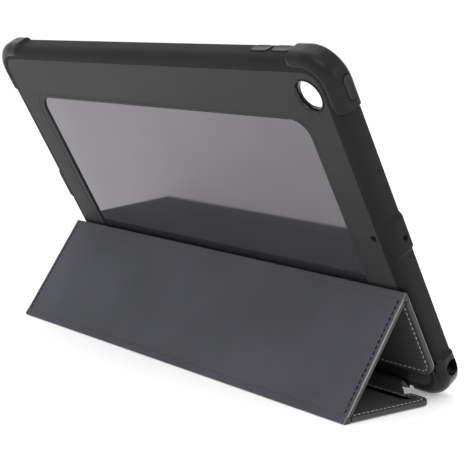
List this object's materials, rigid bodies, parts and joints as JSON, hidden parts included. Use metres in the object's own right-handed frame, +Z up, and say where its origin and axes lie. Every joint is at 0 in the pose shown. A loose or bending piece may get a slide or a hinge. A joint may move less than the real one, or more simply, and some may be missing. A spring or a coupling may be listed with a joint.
{
  "type": "tablet case",
  "caption": "Folding tablet case: bumper frame with clear back window, cushioned corners, press buttons and a stitched trifold cover standing as a triangle.",
  "frame": {"origin": "middle of the case's box, on the table that it stands on", "axes": "+X along the case's long side, screen opening towards -Y, folded cover at +Y, +Z up"},
  "size_m": [0.2604, 0.1074, 0.1605],
  "materials": {
    "frame_tpu": "matte fine-textured thermoplastic rubber",
    "bumper_tpu": "satin thermoplastic rubber",
    "button_tpu": "matte",
    "window": "smoke polycarbonate, polished",
    "camera_ring": "gloss",
    "cover_leather": "fine-grained synthetic leather",
    "cover_lining": "brushed microfibre",
    "stiffener": "dense board",
    "magnet": "plated",
    "thread": "polyester thread"
  },
  "bodies": {
    "shell": {"bumper_frame": "frame_tpu", "side_walls": "frame_tpu", "screen_lip": "frame_tpu", "back_window": "window", "camera_surround": "camera_ring", "corner_bumper_top_near": "bumper_tpu", "corner_bumper_top_far": "bumper_tpu", "corner_bumper_bottom_near": "bumper_tpu", "corner_bumper_bottom_far": "bumper_tpu", "side_boss_near": "bumper_tpu", "side_boss_far": "bumper_tpu", "seam_strip": "cover_leather"},
    "power_button": {"power_button": "button_tpu"},
    "volume_up_button": {"volume_up_button": "button_tpu"},
    "volume_down_button": {"volume_down_button": "button_tpu"},
    "spine": {"spine_strip": "cover_leather"},
    "base_panel": {"spine_fold": "cover_leather", "base_leather": "cover_leather", "base_board": "stiffener", "base_lining": "cover_lining", "base_magnets": "magnet", "foot_fold": "cover_lining"},
    "middle_panel": {"middle_leather": "cover_leather", "middle_board": "stiffener", "middle_lining": "cover_lining", "ridge_fold": "cover_lining"},
    "end_panel": {"end_leather": "cover_leather", "end_board": "stiffener", "end_lining": "cover_lining", "end_magnets": "magnet"}
  },
  "joints": [
    {"name": "seam_hinge", "type": "hinge", "parent": "shell", "child": "spine", "pos_m": [0, -0.04241, 0.00085], "axis": [1, 0, 0], "range_deg": [-197.5, 0]},
    {"name": "rear_hinge", "type": "hinge", "parent": "spine", "child": "base_panel", "pos_m": [0, -0.02742, 0.0013], "axis": [1, 0, 0], "range_deg": [-105, 0]},
    {"name": "foot_hinge", "type": "hinge", "parent": "base_panel", "child": "middle_panel", "pos_m": [0, 0.02698, 0.0013], "axis": [1, 0, 0], "range_deg": [-123, 0]},
    {"name": "ridge_hinge", "type": "hinge", "parent": "middle_panel", "child": "end_panel", "pos_m": [0, -0.00625, 0.05258], "axis": [1, 0, 0], "range_deg": [-115, 0]},
    {"name": "power_press", "type": "slide", "parent": "shell", "child": "power_button", "axis": [1, 0, 0], "range_m": [0, 0.0006], "stiffness_N_per_m": 1500},
    {"name": "volume_up_press", "type": "slide", "parent": "shell", "child": "volume_up_button", "axis": [0, -0.5366, -0.8439], "range_m": [0, 0.0006], "stiffness_N_per_m": 1500},
    {"name": "volume_down_press", "type": "slide", "parent": "shell", "child": "volume_down_button", "axis": [0, -0.5366, -0.8439], "range_m": [0, 0.0006], "stiffness_N_per_m": 1500}
  ],
  "couplings": [
    {"joint": "rear_hinge", "follows": "seam_hinge", "ratio": 0.5307},
    {"joint": "foot_hinge", "follows": "seam_hinge", "ratio": 0.6222},
    {"joint": "ridge_hinge", "follows": "seam_hinge", "ratio": 0.58}
  ]
}
